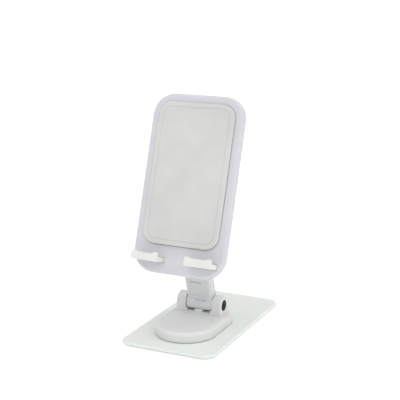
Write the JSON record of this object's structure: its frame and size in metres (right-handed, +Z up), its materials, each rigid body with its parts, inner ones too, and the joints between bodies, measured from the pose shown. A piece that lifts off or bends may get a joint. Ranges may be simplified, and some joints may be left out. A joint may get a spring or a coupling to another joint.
{
  "type": "phone stand",
  "caption": "Folding desk stand for a phone, with a flat weighted base, a swivelling pedestal, a hinged arm, and a leaning cradle with padded hooks.",
  "frame": {"origin": "middle of the base's footprint, on the table", "axes": "+Z up, the cradle faces -Y, and +X is to the right of someone looking at the phone"},
  "size_m": [0.0714, 0.128, 0.1698],
  "materials": {
    "white_coat": "satin white powder coat on steel",
    "white_plastic": "satin moulded plastic with a faint grain",
    "black_plastic": "glossy black moulded caps",
    "pale_silicone": "matte pale grey silicone",
    "grey_silicone": "matte grey anti-slip silicone",
    "slip_plastic": "natural low-friction plastic",
    "zinc_steel": "zinc-plated steel"
  },
  "bodies": {
    "base": {"base_plate": "white_coat", "base_grip_pad": "grey_silicone", "swivel_rivet": "zinc_steel", "swivel_slip_ring": "slip_plastic", "swivel_spring_washer": "zinc_steel", "swivel_collar": "zinc_steel"},
    "pedestal": {"rotor_plate": "zinc_steel", "rotor_screw_1": "zinc_steel", "rotor_screw_2": "zinc_steel", "rotor_screw_3": "zinc_steel", "pedestal_shell": "white_plastic", "lower_hinge_bolt": "zinc_steel", "lower_hinge_nut": "zinc_steel", "lower_hinge_disc_spring": "zinc_steel", "lower_friction_washer_right": "slip_plastic", "lower_friction_washer_left": "slip_plastic", "lower_hinge_cap_right": "black_plastic", "lower_hinge_cap_left": "black_plastic"},
    "arm": {"arm_body": "white_plastic", "arm_front_cover": "white_plastic", "arm_steel_strip": "zinc_steel", "arm_screw_1": "zinc_steel", "arm_screw_2": "zinc_steel"},
    "upper_pin": {"upper_hinge_bolt": "zinc_steel", "upper_hinge_disc_spring": "zinc_steel", "upper_friction_washer_right": "slip_plastic", "upper_friction_washer_left": "slip_plastic"},
    "cradle": {"cradle_front_shell": "white_plastic", "cradle_back_shell": "white_plastic", "cradle_stiffener": "zinc_steel", "hinge_bracket": "white_plastic", "front_pad": "pale_silicone", "hook_left": "white_plastic", "hook_right": "white_plastic", "hook_liner_left": "pale_silicone", "hook_liner_right": "pale_silicone", "upper_hinge_nut": "zinc_steel", "upper_hinge_cap_right": "black_plastic", "upper_hinge_cap_left": "black_plastic", "shell_screw_1": "zinc_steel", "shell_screw_2": "zinc_steel", "shell_screw_3": "zinc_steel", "shell_screw_4": "zinc_steel", "bracket_screw_1": "zinc_steel", "bracket_screw_2": "zinc_steel", "bracket_screw_3": "zinc_steel", "bracket_screw_4": "zinc_steel"}
  },
  "joints": [
    {"name": "base_swivel", "type": "hinge", "parent": "base", "child": "pedestal", "pos_m": [0, -0.015, 0.0026], "axis": [0, 0, 1], "continuous": true},
    {"name": "arm_fold", "type": "hinge", "parent": "pedestal", "child": "arm", "pos_m": [0, -0.0014, 0.01665], "axis": [1, 0, 0], "range_deg": [-17.5, 72.5]},
    {"name": "cradle_fold", "type": "hinge", "parent": "arm", "child": "upper_pin", "pos_m": [0, -0.01974, 0.07483], "axis": [1, 0, 0], "range_deg": [-119, 29]},
    {"name": "cradle_tilt", "type": "hinge", "parent": "upper_pin", "child": "cradle", "pos_m": [0, -0.01974, 0.07483], "axis": [1, 0, 0], "range_deg": [-25, 12]}
  ],
  "couplings": [
    {"joint": "cradle_fold", "follows": "arm_fold", "ratio": -1.638}
  ]
}
